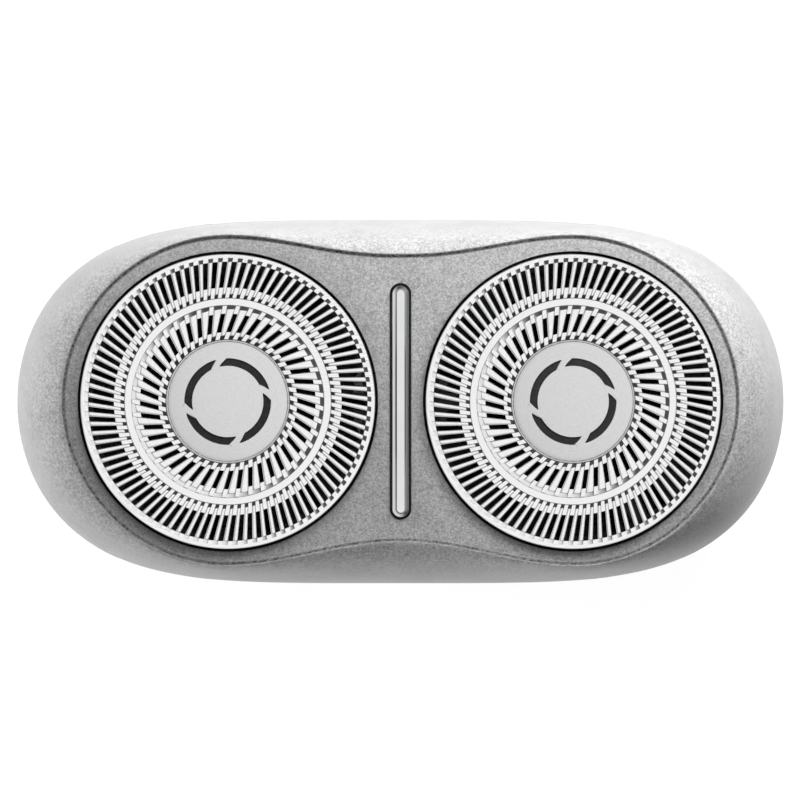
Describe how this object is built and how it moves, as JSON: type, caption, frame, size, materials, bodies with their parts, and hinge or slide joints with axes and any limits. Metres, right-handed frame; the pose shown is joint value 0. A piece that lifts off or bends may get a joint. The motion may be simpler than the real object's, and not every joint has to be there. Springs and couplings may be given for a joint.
{
  "type": "rotary shaver head",
  "caption": "Clip-on rotary shaving unit: slotted floating guards over spinning cutters in a hinged silver lid, above a geared base with a round coupling neck.",
  "frame": {"origin": "centre of the bounding box's bottom, on the flat end of the coupling neck that the unit stands on", "axes": "+X along the line through both heads, +Y towards the lid's hinge, +Z out of the shaving face"},
  "size_m": [0.0624, 0.0296, 0.021],
  "materials": {
    "silver_spray": "ABS sprayed with fine silver metallic paint",
    "chrome_trim": "bright chrome plate",
    "guard_steel": "polished stainless steel",
    "cap_satin": "satin disc",
    "blade_steel": "ground steel",
    "bright_steel": "drawn steel",
    "bush_bronze": "sintered bronze",
    "dark_housing": "moulded dark grey ABS",
    "frame_acetal": "moulded grey acetal",
    "lock_acetal": "moulded pale grey acetal",
    "gear_acetal": "moulded natural acetal",
    "seal_rubber": "moulded black rubber"
  },
  "bodies": {
    "base": {"base_housing": "dark_housing", "neck_o_ring": "seal_rubber", "drive_bush": "bush_bronze", "gear_cover": "dark_housing", "cover_screws": "bright_steel", "hinge_pin": "bright_steel", "axle_left": "bright_steel", "axle_right": "bright_steel", "spindle_seal_left": "seal_rubber", "spindle_seal_right": "seal_rubber"},
    "lid": {"lid_housing": "silver_spray", "centre_bar": "chrome_trim", "retaining_frame": "frame_acetal"},
    "lock": {"lock_wheel": "lock_acetal"},
    "drive": {"drive_gear": "gear_acetal", "drive_clip": "bright_steel"},
    "head_left": {"guard_left": "guard_steel", "cap_left": "cap_satin"},
    "rotor_left": {"cutter_left": "blade_steel", "cutter_hub_left": "frame_acetal"},
    "wheel_left": {"driven_gear_left": "gear_acetal", "spindle_spring_left": "bright_steel"},
    "pusher_left": {"spindle_left": "gear_acetal"},
    "head_right": {"guard_right": "guard_steel", "cap_right": "cap_satin"},
    "rotor_right": {"cutter_right": "blade_steel", "cutter_hub_right": "frame_acetal"},
    "wheel_right": {"driven_gear_right": "gear_acetal", "spindle_spring_right": "bright_steel"},
    "pusher_right": {"spindle_right": "gear_acetal"}
  },
  "joints": [
    {"name": "lid_hinge", "type": "hinge", "parent": "base", "child": "lid", "pos_m": [0, 0.01365, 0.0104], "axis": [-1, 0, 0], "range_deg": [0, 100]},
    {"name": "lock_turn", "type": "hinge", "parent": "lid", "child": "lock", "pos_m": [0, 0, 0.015], "axis": [0, 0, 1], "range_deg": [0, 90]},
    {"name": "drive_spin", "type": "hinge", "parent": "base", "child": "drive", "pos_m": [0, 0, 0.008], "axis": [0, 0, 1], "continuous": true},
    {"name": "head_left_float", "type": "slide", "parent": "lid", "child": "head_left", "axis": [0, 0, 1], "range_m": [-0.0012, 0], "stiffness_N_per_m": 300, "springref_m": 0.002},
    {"name": "cutter_left_spin", "type": "hinge", "parent": "head_left", "child": "rotor_left", "pos_m": [-0.014, 0, 0.019], "axis": [0, 0, 1], "continuous": true},
    {"name": "gear_left_spin", "type": "hinge", "parent": "base", "child": "wheel_left", "pos_m": [-0.014, 0, 0.008], "axis": [0, 0, 1], "continuous": true},
    {"name": "spindle_left_plunge", "type": "slide", "parent": "wheel_left", "child": "pusher_left", "axis": [0, 0, 1], "range_m": [-0.0012, 0], "deforming": ["spindle_spring_left"]},
    {"name": "head_right_float", "type": "slide", "parent": "lid", "child": "head_right", "axis": [0, 0, 1], "range_m": [-0.0012, 0], "stiffness_N_per_m": 300, "springref_m": 0.002},
    {"name": "cutter_right_spin", "type": "hinge", "parent": "head_right", "child": "rotor_right", "pos_m": [0.014, 0, 0.019], "axis": [0, 0, 1], "continuous": true},
    {"name": "gear_right_spin", "type": "hinge", "parent": "base", "child": "wheel_right", "pos_m": [0.014, 0, 0.008], "axis": [0, 0, 1], "continuous": true},
    {"name": "spindle_right_plunge", "type": "slide", "parent": "wheel_right", "child": "pusher_right", "axis": [0, 0, 1], "range_m": [-0.0012, 0], "deforming": ["spindle_spring_right"]}
  ],
  "couplings": [
    {"joint": "gear_left_spin", "follows": "drive_spin", "ratio": -0.66667},
    {"joint": "cutter_left_spin", "follows": "drive_spin", "ratio": -0.66667},
    {"joint": "spindle_left_plunge", "follows": "head_left_float", "ratio": 1},
    {"joint": "gear_right_spin", "follows": "drive_spin", "ratio": -0.66667},
    {"joint": "cutter_right_spin", "follows": "drive_spin", "ratio": -0.66667},
    {"joint": "spindle_right_plunge", "follows": "head_right_float", "ratio": 1}
  ]
}
